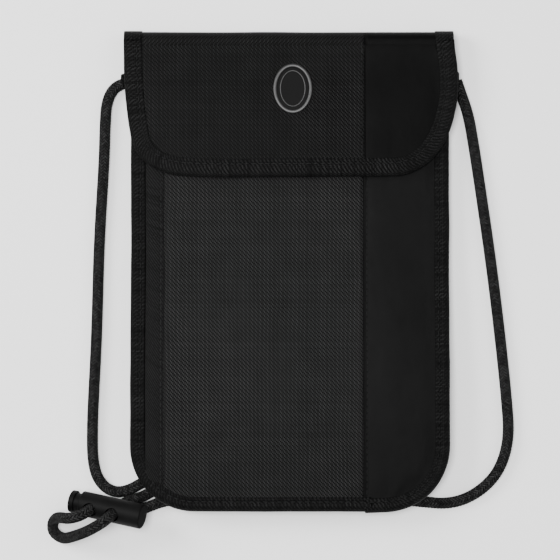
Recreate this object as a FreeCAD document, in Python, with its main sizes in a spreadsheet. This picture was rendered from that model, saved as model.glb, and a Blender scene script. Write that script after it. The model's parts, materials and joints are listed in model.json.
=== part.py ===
import FreeCAD
import Part
import math
import os
import Sketcher

# Neck pouch wallet: a flat cloth pouch with a flap, on a round cord with a two-hole cord lock.
# Millimetres. X runs across the pouch, Y up it towards the flap's fold, Z through its thickness.
# The pouch lies on its back. Its lower end rises over the cord that is folded away under it.

SIZES = {
    # pouch body
    "body_width": 140,
    "body_length": 211,
    "body_corner": 27,
    "head_inset": 1,
    # cloth thicknesses
    "cloth": 0.6,
    "lining": 0.4,
    "tape": 0.5,
    "tape_wall": 0.8,
    "seam_play": 0.1,
    "body_tape_width": 6.4,
    "pocket_tape_width": 8,
    # hollow spaces between the layers
    "main_pocket_gap": 5.2,
    "slip_pocket_gap": 0.4,
    "moving_gap": 0.3,
    # the rise over the folded cord
    "lift": 5.9,
    "ramp_top": -20,
    "ramp_foot": -62,
    # the two cloths of the front meet here
    "front_seam": 32.3,
    "overlap_left": 32.4,
    "overlap_right": 37,
    # mouth of the main pocket
    "mouth_top": 99,
    "mouth_tape_width": 8,
    "fold_outer": 105.2,
    "fold_width": 132,
    # flap
    "flap_width": 147,
    "flap_length": 64.5,
    "flap_corner": 19,
    "flap_tape_width": 8,
    "flap_seam": 33,
    # touch fastener
    "patch_width": 40,
    "patch_length": 16,
    "patch_foot": 50,
    "hook_thickness": 0.35,
    # badge
    "badge_x": 1.2,
    "badge_y": 80,
    "badge_long_radius": 11,
    "badge_short_radius": 8.6,
    "badge_thickness": 0.9,
    "badge_washer_radius": 5,
    # cord and its sewn tabs
    "cord_diameter": 5,
    "tab_length": 3.2,
    "tab_width": 4,
    "tab_height": 5,
    # cord lock: place of the barrel's open end, and its turn, tilt and roll in degrees
    "lock_x": -91.48,
    "lock_y": -102.05,
    "lock_z": 9.63,
    "lock_turn": -11,
    "lock_tilt": -16,
    "lock_roll": 22,
    "barrel_diameter": 11,
    "barrel_length": 28.8,
    "barrel_bore": 8.6,
    "barrel_end_wall": 1.8,
    "barrel_edge": 0.6,
    "lock_hole": 6.4,
    "near_hole": 5.6,
    "far_hole": 16.1,
    # plunger
    "rod_diameter": 8.2,
    "rod_length": 20.5,
    "button_diameter": 9.8,
    "button_thickness": 2.2,
    "button_gap": 2.8,
    "button_edge": 0.5,
    "plunger_travel": 2.5,
    "slot_width": 5.7,
    "grip_play": 0.15,
    "slot_play": 0.3,
    # plunger spring
    "spring_diameter": 6.8,
    "spring_wire": 0.8,
    "spring_turns": 4,
    "spring_steps": 10,
    # how far a cutting shape reaches past the shape it cuts
    "cut_margin": 1,
}

# The part of a cord's shorter run that the arc at a corner takes up.
ARC_SHARE = 0.45

# The cord's route, from the left seam to the right seam. The points are corners of straight runs.
CORD_ROUTE = [
    # left side, from the sewn tab down to the lower corner
    (-73.4, 84.5, 2.6),
    (-79.0, 84.0, 2.6),
    (-82.0, 78.4, 2.6),
    (-81.4, 68.0, 2.6),
    (-81.8, 48.0, 2.6),
    (-84.2, 12.0, 2.6),
    (-85.2, -30.0, 2.6),
    (-87.2, -68.0, 2.6),
    (-86.2, -85.0, 2.6),
    (-80.8, -94.2, 2.6),
    (-72.5, -96.6, 2.6),
    (-62.0, -91.2, 2.6),
    # folded away under the pouch
    (-45.0, -81.0, 2.6),
    (-22.0, -73.5, 2.6),
    (10.0, -71.8, 2.6),
    (36.0, -67.2, 2.6),
    (48.0, -71.6, 2.6),
    (50.4, -82.4, 2.6),
    (41.0, -89.6, 2.6),
    (18.0, -88.6, 2.6),
    (-16.0, -84.8, 2.6),
    (-42.0, -89.0, 2.6),
    (-56.0, -94.2, 2.6),
    (-65.0, -100.0, 2.6),
    # up through the lock's far hole
    (-72.9, -101.65, 4.7),
    (-79.26, -107.9, 22.2),
    # the lock's loop
    (-84.2, -111.1, 23.6),
    (-89.6, -114.2, 18.6),
    (-95.4, -117.6, 10.4),
    (-100.6, -119.4, 5.4),
    (-106.0, -116.0, 3.4),
    (-105.4, -109.8, 5.6),
    (-101.0, -108.0, 12.4),
    (-96.0, -108.2, 19.4),
    (-89.16, -106.0, 19.28),
    # down through the lock's near hole
    (-83.1, -100.0, 2.6),
    (-74.0, -107.2, 2.6),
    (-65.6, -105.4, 2.6),
    (-54.0, -100.8, 2.6),
    # under the pouch's lower edge to the right corner
    (-30.0, -99.0, 2.6),
    (6.0, -101.4, 2.6),
    (40.0, -99.8, 2.6),
    (58.0, -102.0, 2.6),
    (71.5, -103.0, 2.6),
    (83.0, -97.6, 2.6),
    (92.2, -88.2, 2.6),
    # right side, up to the sewn tab
    (96.6, -74.0, 2.6),
    (95.2, -56.0, 2.6),
    (92.5, -30.0, 2.6),
    (88.5, 3.0, 2.6),
    (83.4, 38.0, 2.6),
    (80.3, 57.6, 2.6),
    (78.0, 69.6, 2.6),
    (75.2, 78.6, 2.6),
    (73.6, 84.0, 2.6),
]


def make_sheet(document, sizes):
    """Put every driving dimension in a spreadsheet cell with an alias."""
    sheet = document.addObject("Spreadsheet::Sheet", "Sizes")
    for row, (alias, value) in enumerate(sizes.items(), start=1):
        sheet.set(f"A{row}", alias)
        sheet.set(f"B{row}", str(value))
        sheet.setAlias(f"B{row}", alias)
    document.recompute()
    return sheet


doc = FreeCAD.newDocument("neck_pouch_wallet")
sizes = make_sheet(doc, SIZES)
solids = []


def size(alias):
    """A sheet value as a number, for the shapes that are worked out in code."""
    return float(getattr(sizes, alias))


def keep(part, name):
    """Register a finished sub-part under its node name."""
    part.Label = name
    solids.append(part)
    return part


def origin_plane(body, role):
    """One of a body's own origin planes."""
    return next(item for item in body.Origin.OriginFeatures if item.Role == role)


def new_sketch(body, name, role, offset=None):
    """A sketch on an origin plane, moved along the plane's normal by an expression."""
    sketch = body.newObject("Sketcher::SketchObject", name)
    sketch.AttachmentSupport = (origin_plane(body, role), [""])
    sketch.MapMode = "FlatFace"
    if offset:
        sketch.setExpression("AttachmentOffset.Base.z", offset)
    return sketch


def value_of(expression):
    """The number that an expression of sheet cells stands for."""
    return float(sizes.evalExpression(expression))


def bind(sketch, kind, geometry, point, expression):
    """A distance from the sketch origin to a point, driven by an expression."""
    index = sketch.addConstraint(
        Sketcher.Constraint(kind, -1, 1, geometry, point, value_of(expression))
    )
    sketch.setExpression(f"Constraints[{index}]", expression)


def draw_polygon(sketch, corners):
    """A closed polygon whose corners are pairs of expressions."""
    places = [FreeCAD.Vector(value_of(u), value_of(v), 0) for u, v in corners]
    count = len(places)
    for i in range(count):
        sketch.addGeometry(Part.LineSegment(places[i], places[(i + 1) % count]))
    for i in range(count):
        sketch.addConstraint(Sketcher.Constraint("Coincident", i, 2, (i + 1) % count, 1))
    for i, (u, v) in enumerate(corners):
        bind(sketch, "DistanceX", i, 1, u)
        bind(sketch, "DistanceY", i, 1, v)


def draw_circle(sketch, diameter, across="0", up="0"):
    """A circle with a driven diameter and centre."""
    centre = FreeCAD.Vector(value_of(across), value_of(up), 0)
    ring = sketch.addGeometry(
        Part.Circle(centre, FreeCAD.Vector(0, 0, 1), value_of(diameter) / 2)
    )
    bind(sketch, "DistanceX", ring, 3, across)
    bind(sketch, "DistanceY", ring, 3, up)
    index = sketch.addConstraint(Sketcher.Constraint("Diameter", ring, value_of(diameter)))
    sketch.setExpression(f"Constraints[{index}]", diameter)


def upright_edges(shape, left, right, foot):
    """Names of the straight edges along Z at the foot corners that are named."""
    names = []
    for number, edge in enumerate(shape.Edges, start=1):
        first, last = edge.Vertexes[0].Point, edge.Vertexes[-1].Point
        upright = abs(first.x - last.x) < 1e-6 and abs(first.y - last.y) < 1e-6
        at_side = any(side is not None and abs(first.x - side) < 1e-6 for side in (left, right))
        if upright and at_side and abs(first.y - foot) < 1e-6:
            names.append(f"Edge{number}")
    return names


def strip(name, left, right, foot, head, low, high, radius, round_left=True, round_right=True,
          raised=True):
    """One layer: a strip that follows the pouch's bend, with rounded lower corners."""
    body = doc.addObject("PartDesign::Body", name + "_body")
    sketch = new_sketch(body, name + "_profile", "YZ_Plane", left)
    if raised:
        draw_polygon(sketch, [
            (head, low),
            ("Sizes.ramp_top", low),
            ("Sizes.ramp_foot", f"{low} + Sizes.lift"),
            (foot, f"{low} + Sizes.lift"),
            (foot, f"{high} + Sizes.lift"),
            ("Sizes.ramp_foot", f"{high} + Sizes.lift"),
            ("Sizes.ramp_top", high),
            (head, high),
        ])
    else:
        draw_polygon(sketch, [(head, low), (foot, low), (foot, high), (head, high)])
    pad = body.newObject("PartDesign::Pad", name + "_pad")
    pad.Profile = sketch
    pad.setExpression("Length", f"({right}) - ({left})")
    doc.recompute()
    edges = upright_edges(
        pad.Shape,
        value_of(left) if round_left else None,
        value_of(right) if round_right else None,
        value_of(foot),
    )
    if edges:
        fillet = body.newObject("PartDesign::Fillet", name + "_corners")
        fillet.Base = (pad, edges)
        fillet.setExpression("Radius", radius)
        doc.recompute()
    return body


def cut(name, base, tool):
    """Base less tool, as a document object."""
    result = doc.addObject("Part::Cut", name)
    result.Base = base
    result.Tool = tool
    return result


def edge_tape(name, width, foot, head, low, high, radius, leg, raised):
    """A tape folded round the left, bottom and right edges: a strip less its inside."""
    half = f"({width}) / 2"
    wall = "Sizes.tape_wall"
    outer = strip(name + "_outer", f"-({half})", half, foot, head, low, high, radius,
                  raised=raised)
    groove = strip(name + "_groove", f"-({half}) + {wall}", f"{half} - {wall}",
                   f"{foot} + {wall}", f"{head} + Sizes.cut_margin", f"{low} + Sizes.tape",
                   f"{high} - Sizes.tape", f"{radius} - {wall}", raised=raised)
    window = strip(name + "_window", f"-({half}) + {leg}", f"{half} - {leg}",
                   f"{foot} + {leg}", f"{head} + Sizes.cut_margin",
                   f"{low} - Sizes.cut_margin", f"{high} + Sizes.cut_margin",
                   f"{radius} - {leg}", raised=raised)
    return keep(cut(name, cut(name + "_channel", outer, groove), window), name)


def plain_box(name, left, right, foot, head, low, high):
    """A box between driven faces."""
    box = doc.addObject("Part::Box", name + "_box")
    box.setExpression("Length", f"({right}) - ({left})")
    box.setExpression("Width", f"({head}) - ({foot})")
    box.setExpression("Height", f"({high}) - ({low})")
    box.setExpression("Placement.Base.x", left)
    box.setExpression("Placement.Base.y", foot)
    box.setExpression("Placement.Base.z", low)
    return box


# Levels through the thickness, as expressions of the sheet, from the back up.
BACK_LOW = "Sizes.tape"
BACK_HIGH = f"{BACK_LOW} + Sizes.cloth"
POCKET_LOW = f"{BACK_HIGH} + Sizes.lining"
POCKET_HIGH = f"{POCKET_LOW} + Sizes.main_pocket_gap"
WALL_LOW = f"{POCKET_HIGH} + Sizes.lining"
WALL_HIGH = f"{WALL_LOW} + Sizes.cloth"
FRONT_LOW = f"{WALL_HIGH} + Sizes.slip_pocket_gap"
FRONT_HIGH = f"{FRONT_LOW} + Sizes.cloth"
BODY_HIGH = f"{FRONT_HIGH} + Sizes.tape"
FLAP_LOW = f"{BODY_HIGH} + Sizes.moving_gap"
FLAP_LINING_LOW = f"{FLAP_LOW} + Sizes.tape"
FLAP_CLOTH_LOW = f"{FLAP_LINING_LOW} + Sizes.lining"
FLAP_CLOTH_HIGH = f"{FLAP_CLOTH_LOW} + Sizes.cloth"
FLAP_HIGH = f"{FLAP_CLOTH_HIGH} + Sizes.tape"

# Outline of the pouch body and of the layers inside its tape.
FOOT = "-Sizes.body_length / 2"
TOP = "Sizes.body_length / 2"
HEAD = f"{TOP} - Sizes.head_inset"
LAYER_INSET = "(Sizes.tape_wall + Sizes.seam_play)"
LAYER_LEFT = f"-Sizes.body_width / 2 + {LAYER_INSET}"
LAYER_RIGHT = f"Sizes.body_width / 2 - {LAYER_INSET}"
LAYER_FOOT = f"{FOOT} + {LAYER_INSET}"
LAYER_RADIUS = f"Sizes.body_corner - {LAYER_INSET}"
FRONT_HEAD = "Sizes.mouth_top - Sizes.tape"


def make_body_layers():
    """The pouch's cloths and linings, from the back to the front."""
    layers = [
        ("back_panel", BACK_LOW, BACK_HIGH, HEAD),
        ("back_lining", BACK_HIGH, POCKET_LOW, HEAD),
        ("front_lining", POCKET_HIGH, WALL_LOW, FRONT_HEAD),
        ("front_wall", WALL_LOW, WALL_HIGH, FRONT_HEAD),
    ]
    for name, low, high, head in layers:
        keep(strip(name, LAYER_LEFT, LAYER_RIGHT, LAYER_FOOT, head, low, high, LAYER_RADIUS), name)


def make_front_panels():
    """The outer front: two cloths side by side, with the slip pocket's mouth on the left."""
    mouth = "-Sizes.body_width / 2 + Sizes.body_tape_width + Sizes.seam_play"
    panel_left = f"{mouth} + Sizes.tape"
    left_radius = "Sizes.body_corner - Sizes.body_tape_width"
    keep(strip("front_twill_panel", panel_left, "Sizes.front_seam", LAYER_FOOT, FRONT_HEAD,
               FRONT_LOW, FRONT_HIGH, left_radius, round_right=False), "front_twill_panel")
    keep(strip("front_smooth_panel", "Sizes.front_seam + Sizes.seam_play", LAYER_RIGHT,
               LAYER_FOOT, FRONT_HEAD, FRONT_LOW, FRONT_HIGH, LAYER_RADIUS, round_left=False),
         "front_smooth_panel")
    # The tape folds over the panel's free edge, and stops above the bottom tape.
    tape_right = f"{mouth} + Sizes.pocket_tape_width"
    tape_foot = f"{FOOT} + Sizes.body_corner"
    tape_head = "Sizes.mouth_top - Sizes.mouth_tape_width - Sizes.seam_play"
    cover = strip("slip_pocket_cover", mouth, tape_right, tape_foot, tape_head,
                  f"{FRONT_LOW} - Sizes.slip_pocket_gap / 2", f"{FRONT_HIGH} + Sizes.tape",
                  "0", round_left=False, round_right=False)
    inside = strip("slip_pocket_inside", panel_left, f"{tape_right} + Sizes.cut_margin",
                   f"{tape_foot} - Sizes.cut_margin", f"{tape_head} + Sizes.cut_margin",
                   FRONT_LOW, FRONT_HIGH, "0", round_left=False, round_right=False)
    keep(cut("slip_pocket_binding", cover, inside), "slip_pocket_binding")


def make_body_tapes():
    """The tape round the pouch, its lapped end, the mouth tape and the fold at the top."""
    edge_tape("body_binding", "Sizes.body_width", FOOT, HEAD, "0", BODY_HIGH,
              "Sizes.body_corner", "Sizes.body_tape_width", True)
    keep(plain_box("binding_overlap", "Sizes.overlap_left", "Sizes.overlap_right", FOOT,
                   f"{FOOT} + Sizes.body_tape_width", f"{BODY_HIGH} + Sizes.lift",
                   f"{BODY_HIGH} + Sizes.lift + Sizes.tape"), "binding_overlap")
    mouth_foot = "Sizes.mouth_top - Sizes.mouth_tape_width"
    inner_half = "Sizes.body_width / 2 - Sizes.body_tape_width - Sizes.seam_play"
    cover = plain_box("mouth_cover", f"-({inner_half})", inner_half, mouth_foot,
                      "Sizes.mouth_top", f"{POCKET_HIGH} - Sizes.tape",
                      f"{FRONT_HIGH} + Sizes.lining")
    inside = plain_box("mouth_inside", "-Sizes.body_width", "Sizes.body_width",
                       f"{mouth_foot} - Sizes.cut_margin", FRONT_HEAD, POCKET_HIGH, FRONT_HIGH)
    keep(cut("mouth_binding", cover, inside), "mouth_binding")
    keep(plain_box("top_fold", "-Sizes.fold_width / 2", "Sizes.fold_width / 2", HEAD,
                   "Sizes.fold_outer", BACK_LOW, f"{BODY_HIGH} - Sizes.lining"), "top_fold")


def make_flap():
    """The flap's cloths, lining, tape, fastener and badge, all above the closed body."""
    foot = f"{TOP} - Sizes.flap_length"
    inset_foot = f"{foot} + {LAYER_INSET}"
    left = f"-Sizes.flap_width / 2 + {LAYER_INSET}"
    right = f"Sizes.flap_width / 2 - {LAYER_INSET}"
    radius = f"Sizes.flap_corner - {LAYER_INSET}"
    keep(strip("flap_lining", left, right, inset_foot, TOP, FLAP_LINING_LOW, FLAP_CLOTH_LOW,
               radius, raised=False), "flap_lining")
    keep(strip("flap_twill_panel", left, "Sizes.flap_seam", inset_foot, TOP, FLAP_CLOTH_LOW,
               FLAP_CLOTH_HIGH, radius, round_right=False, raised=False), "flap_twill_panel")
    keep(strip("flap_smooth_panel", "Sizes.flap_seam + Sizes.seam_play", right, inset_foot, TOP,
               FLAP_CLOTH_LOW, FLAP_CLOTH_HIGH, radius, round_left=False, raised=False),
         "flap_smooth_panel")
    edge_tape("flap_binding", "Sizes.flap_width", foot, TOP,
              FLAP_LOW, FLAP_HIGH, "Sizes.flap_corner", "Sizes.flap_tape_width", False)


def make_fastener():
    """The two halves of the touch fastener, one above the other when the flap is closed."""
    half = "Sizes.patch_width / 2"
    head = "Sizes.patch_foot + Sizes.patch_length"
    keep(plain_box("loop_patch", f"-({half})", half, "Sizes.patch_foot", head, FRONT_HIGH,
                   f"{FRONT_HIGH} + Sizes.lining"), "loop_patch")
    keep(plain_box("flap_hook_patch", f"-({half})", half, "Sizes.patch_foot", head,
                   f"{FLAP_LINING_LOW} - Sizes.hook_thickness", FLAP_LINING_LOW),
         "flap_hook_patch")


def make_badge():
    """A plain oval badge with a stepped rim, and the washer that holds it behind the cloth."""
    plate = doc.addObject("Part::Ellipse", "badge_outline")
    plate.setExpression("MajorRadius", "Sizes.badge_long_radius")
    plate.setExpression("MinorRadius", "Sizes.badge_short_radius")
    plate.Placement = FreeCAD.Placement(
        FreeCAD.Vector(size("badge_x"), size("badge_y"), value_of(FLAP_CLOTH_HIGH)),
        FreeCAD.Rotation(FreeCAD.Vector(0, 0, 1), 90),
    )
    badge = doc.addObject("Part::Extrusion", "badge_plate")
    badge.Base = plate
    badge.Dir = FreeCAD.Vector(0, 0, 1)
    badge.DirMode = "Custom"
    badge.Solid = True
    badge.setExpression("LengthFwd", "Sizes.badge_thickness")
    keep(badge, "flap_emblem")
    washer = doc.addObject("Part::Cylinder", "badge_washer")
    washer.setExpression("Radius", "Sizes.badge_washer_radius")
    washer.setExpression("Height", "Sizes.hook_thickness")
    washer.setExpression("Placement.Base.x", "Sizes.badge_x")
    washer.setExpression("Placement.Base.y", "Sizes.badge_y")
    washer.setExpression("Placement.Base.z", f"{FLAP_LINING_LOW} - Sizes.hook_thickness")
    keep(washer, "emblem_backing")


def make_cord_tab(name, start, ahead):
    """A sewn tab at one end of the cord, in line with the cord's first run."""
    tab = doc.addObject("Part::Box", name + "_box")
    tab.setExpression("Length", "Sizes.tab_length")
    tab.setExpression("Width", "Sizes.tab_width")
    tab.setExpression("Height", "Sizes.tab_height")
    along = (FreeCAD.Vector(*start) - FreeCAD.Vector(*ahead)).normalize()
    across = FreeCAD.Vector(-along.y, along.x, 0)
    corner = FreeCAD.Vector(*start) - across * (size("tab_width") / 2)
    corner.z = start[2] - size("tab_height") / 2
    angle = math.degrees(math.atan2(along.y, along.x))
    tab.Placement = FreeCAD.Placement(corner, FreeCAD.Rotation(FreeCAD.Vector(0, 0, 1), angle))
    keep(tab, name)


def rounded_path(route):
    """Straight runs joined by tangent arcs, each as large as its two runs allow."""
    points = [FreeCAD.Vector(*place) for place in route]
    edges = []
    radii = []
    start = points[0]
    for before, corner, after in zip(points, points[1:], points[2:]):
        back = before - corner
        ahead = after - corner
        shorter = min(back.Length, ahead.Length)
        turn = math.pi - back.getAngle(ahead)
        trim = ARC_SHARE * shorter
        radius = trim / math.tan(turn / 2)
        back.normalize()
        ahead.normalize()
        arc_start = corner + back * trim
        arc_end = corner + ahead * trim
        inward = (back + ahead).normalize()
        centre = corner + inward * math.hypot(trim, radius)
        middle = centre - inward * radius
        edges.append(Part.LineSegment(start, arc_start).toShape())
        edges.append(Part.Arc(arc_start, middle, arc_end).toShape())
        radii.append((radius, math.degrees(turn), shorter))
        start = arc_end
    edges.append(Part.LineSegment(start, points[-1]).toShape())
    return Part.Wire(edges), radii


def tube_along(route, diameter):
    """A round tube along a rounded route, with its path and its bends."""
    path, radii = rounded_path(route)
    start = FreeCAD.Vector(*route[0])
    heading = FreeCAD.Vector(*route[1]) - start
    section = Part.Wire([Part.Circle(start, heading, diameter / 2).toShape()])
    return path.makePipeShell([section], True, True), path, radii


def make_cord():
    """The neck cord: one round cord from seam to seam, through the lock and round its loop."""
    diameter = size("cord_diameter")
    tube, path, radii = tube_along(CORD_ROUTE, diameter)
    cord = doc.addObject("Part::Feature", "cord")
    cord.Shape = tube
    keep(cord, "neck_cord")
    expected = math.pi * diameter ** 2 / 4 * path.Length
    print(f"cord length {path.Length:.1f} mm, volume {tube.Volume:.0f}, expected {expected:.0f}")
    for (x, y, z), (bend, turn, run) in zip(CORD_ROUTE[1:], radii):
        print(f"  at {x:7.1f} {y:7.1f} {z:5.1f}: radius {bend:6.1f}, turn {turn:5.1f}, run {run:5.1f}")


def place_on_lock(body):
    """Move a piece of the cord lock from its own frame, X along the barrel, to its place."""
    body.Placement = FreeCAD.Placement(
        FreeCAD.Vector(size("lock_x"), size("lock_y"), size("lock_z")),
        FreeCAD.Rotation(size("lock_turn"), size("lock_tilt"), size("lock_roll")),
    )


def pad_circle(body, name, diameter, offset, length):
    """A round pad along the barrel's axis."""
    sketch = new_sketch(body, name + "_sketch", "YZ_Plane", offset)
    draw_circle(sketch, diameter)
    pad = body.newObject("PartDesign::Pad", name)
    pad.Profile = sketch
    pad.setExpression("Length", length)
    return pad


def make_barrel():
    """The lock's barrel: closed at one end, with two cross holes for the cord."""
    body = doc.addObject("PartDesign::Body", "barrel_body")
    shell = pad_circle(body, "barrel_shell", "Sizes.barrel_diameter", "0", "Sizes.barrel_length")
    doc.recompute()
    rims = [f"Edge{n}" for n, edge in enumerate(shell.Shape.Edges, start=1)
            if edge.Curve.TypeId == "Part::GeomCircle"]
    rounded = body.newObject("PartDesign::Fillet", "barrel_rims")
    rounded.Base = (shell, rims)
    rounded.setExpression("Radius", "Sizes.barrel_edge")
    doc.recompute()
    bore = body.newObject("PartDesign::Pocket", "barrel_bore")
    bore_sketch = new_sketch(body, "barrel_bore_sketch", "YZ_Plane")
    draw_circle(bore_sketch, "Sizes.barrel_bore")
    bore.Profile = bore_sketch
    bore.Reversed = True
    bore.setExpression("Length", "Sizes.barrel_length - Sizes.barrel_end_wall")
    hole_sketch = new_sketch(body, "barrel_holes_sketch", "XY_Plane")
    draw_circle(hole_sketch, "Sizes.lock_hole", "Sizes.near_hole")
    draw_circle(hole_sketch, "Sizes.lock_hole", "Sizes.far_hole")
    holes = body.newObject("PartDesign::Pocket", "barrel_holes")
    holes.Profile = hole_sketch
    holes.Midplane = True
    holes.setExpression("Length", "Sizes.barrel_diameter * 2")
    doc.recompute()
    place_on_lock(body)
    keep(body, "lock_barrel")


def make_plunger():
    """The button and its rod. The slots grip the cord against the barrel's holes."""
    body = doc.addObject("PartDesign::Body", "plunger_body")
    gap = "Sizes.button_gap"
    pad_circle(body, "plunger_rod", "Sizes.rod_diameter", f"-{gap}", f"Sizes.rod_length + {gap}")
    button = pad_circle(body, "plunger_button", "Sizes.button_diameter",
                        f"-{gap} - Sizes.button_thickness", "Sizes.button_thickness")
    doc.recompute()
    outer_face = value_of(f"-{gap} - Sizes.button_thickness")
    rims = [f"Edge{n}" for n, edge in enumerate(button.Shape.Edges, start=1)
            if abs(edge.BoundBox.XMax - outer_face) < 1e-6]
    rounded = body.newObject("PartDesign::Fillet", "button_rim")
    rounded.Base = (button, rims)
    rounded.setExpression("Radius", "Sizes.button_edge")
    half_slot = "Sizes.slot_width / 2"
    for name, hole in (("near_slot", "Sizes.near_hole"), ("far_slot", "Sizes.far_hole")):
        left = f"{hole} - Sizes.cord_diameter / 2 - Sizes.plunger_travel - Sizes.slot_play"
        right = f"{hole} + Sizes.cord_diameter / 2 + Sizes.grip_play"
        sketch = new_sketch(body, name + "_sketch", "XY_Plane")
        draw_polygon(sketch, [(left, f"-{half_slot}"), (right, f"-{half_slot}"),
                              (right, half_slot), (left, half_slot)])
        slot = body.newObject("PartDesign::Pocket", name)
        slot.Profile = sketch
        slot.Midplane = True
        slot.setExpression("Length", "Sizes.barrel_diameter * 2")
    doc.recompute()
    place_on_lock(body)
    keep(body, "lock_plunger")


def make_spring():
    """The coil spring between the rod's end and the barrel's closed end."""
    wire = size("spring_wire")
    coil_radius = (size("spring_diameter") - wire) / 2
    near_end = size("rod_length") + wire / 2
    far_end = size("barrel_length") - size("barrel_end_wall") - wire / 2
    steps = int(size("spring_turns") * size("spring_steps"))
    route = []
    for step in range(steps + 1):
        angle = 2 * math.pi * step / size("spring_steps")
        along = near_end + (far_end - near_end) * step / steps
        route.append((along, coil_radius * math.cos(angle), coil_radius * math.sin(angle)))
    coil, _, _ = tube_along(route, wire)
    spring = doc.addObject("Part::Feature", "spring")
    spring.Shape = coil
    place_on_lock(spring)
    keep(spring, "lock_spring")


def check_and_write():
    """Refuse a failed feature or an empty shape, then write one STEP file for each sub-part."""
    doc.recompute()
    for item in doc.Objects:
        failed = [state for state in item.State if state in ("Invalid", "Error")]
        if failed:
            raise RuntimeError(f"{item.Name} is {failed}")
    for part in solids:
        shape = part.Shape
        if shape.isNull() or not shape.isValid() or shape.Volume <= 0:
            raise RuntimeError(f"{part.Label} has no valid shape")
    os.makedirs("parts", exist_ok=True)
    for part in solids:
        part.Shape.exportStep(f"parts/{part.Label}.step")
        box = part.Shape.BoundBox
        print(f"{part.Label:22s} solids {len(part.Shape.Solids)} volume {part.Shape.Volume:9.1f}"
              f" x {box.XMin:7.2f} {box.XMax:7.2f} y {box.YMin:7.2f} {box.YMax:7.2f}"
              f" z {box.ZMin:6.2f} {box.ZMax:6.2f}")


make_body_layers()
make_front_panels()
make_body_tapes()
make_flap()
make_fastener()
make_badge()
make_cord_tab("cord_anchor_left", CORD_ROUTE[0], CORD_ROUTE[1])
make_cord_tab("cord_anchor_right", CORD_ROUTE[-1], CORD_ROUTE[-2])
make_cord()
make_barrel()
make_plunger()
make_spring()
check_and_write()
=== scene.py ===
import json
import math
from functools import partial

import bpy
import numpy as np
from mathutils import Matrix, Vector, noise


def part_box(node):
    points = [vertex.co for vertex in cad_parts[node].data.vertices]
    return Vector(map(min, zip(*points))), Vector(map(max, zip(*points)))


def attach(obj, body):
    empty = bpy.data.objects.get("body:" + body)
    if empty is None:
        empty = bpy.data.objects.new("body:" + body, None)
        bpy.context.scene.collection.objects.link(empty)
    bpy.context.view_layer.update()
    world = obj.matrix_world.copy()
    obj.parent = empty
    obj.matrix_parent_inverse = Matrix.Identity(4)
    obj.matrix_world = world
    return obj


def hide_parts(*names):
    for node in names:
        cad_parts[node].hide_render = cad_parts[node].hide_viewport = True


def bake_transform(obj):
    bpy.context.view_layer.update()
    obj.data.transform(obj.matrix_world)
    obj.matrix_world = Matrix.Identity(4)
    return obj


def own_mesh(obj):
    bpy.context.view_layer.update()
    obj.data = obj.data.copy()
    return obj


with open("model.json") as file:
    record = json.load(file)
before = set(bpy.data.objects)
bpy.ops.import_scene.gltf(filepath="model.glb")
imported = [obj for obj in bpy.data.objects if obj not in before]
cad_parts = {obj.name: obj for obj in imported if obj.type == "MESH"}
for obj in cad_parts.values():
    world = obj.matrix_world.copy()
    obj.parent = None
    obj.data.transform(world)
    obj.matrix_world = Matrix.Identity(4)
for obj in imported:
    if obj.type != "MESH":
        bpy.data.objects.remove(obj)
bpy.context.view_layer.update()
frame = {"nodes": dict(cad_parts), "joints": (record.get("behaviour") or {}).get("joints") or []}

MM = 0.001  # sizes below are in millimetres, and meshes are scaled once, when they are made
scene = bpy.context.scene


# ---------------------------------------------------------------- camera, floor and light

def aim(obj, target):
    obj.rotation_euler = (Vector(target) - obj.location).to_track_quat("-Z", "Y").to_euler()


def soft_light(name, place, size, power, target=(0, 0, 0)):
    light = bpy.data.lights.new(name, "AREA")
    light.shape = "RECTANGLE"
    light.size, light.size_y = size
    light.energy = power
    obj = bpy.data.objects.new(name, light)
    obj.location = place
    scene.collection.objects.link(obj)
    aim(obj, target)
    return obj


CAMERA_HEIGHT = 1.2
FIELD_WIDTH = 0.2464
camera = bpy.data.objects.new("camera", bpy.data.cameras.new("camera"))
camera.data.type = "PERSP"
camera.data.sensor_width = 36
camera.data.lens = 36 * (CAMERA_HEIGHT - 0.008) / FIELD_WIDTH
camera.location = (-0.0044, -0.0040, CAMERA_HEIGHT)
camera.data.clip_start, camera.data.clip_end = 0.01, 20
scene.collection.objects.link(camera)
scene.camera = camera

soft_light("front", (-0.16, 0.02, 1.50), (0.46, 0.46), 30)
soft_light("key", (-0.80, 0.34, 0.72), (0.5, 0.5), 12)
soft_light("fill", (0.90, 0.30, 1.00), (0.9, 0.9), 5)

world = bpy.data.worlds.new("studio")
world.use_nodes = True
world.node_tree.nodes["Background"].inputs["Color"].default_value = (1.0, 1.0, 1.0, 1)
world.node_tree.nodes["Background"].inputs["Strength"].default_value = 0.55
scene.world = world


# ---------------------------------------------------------------- material nodes

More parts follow.
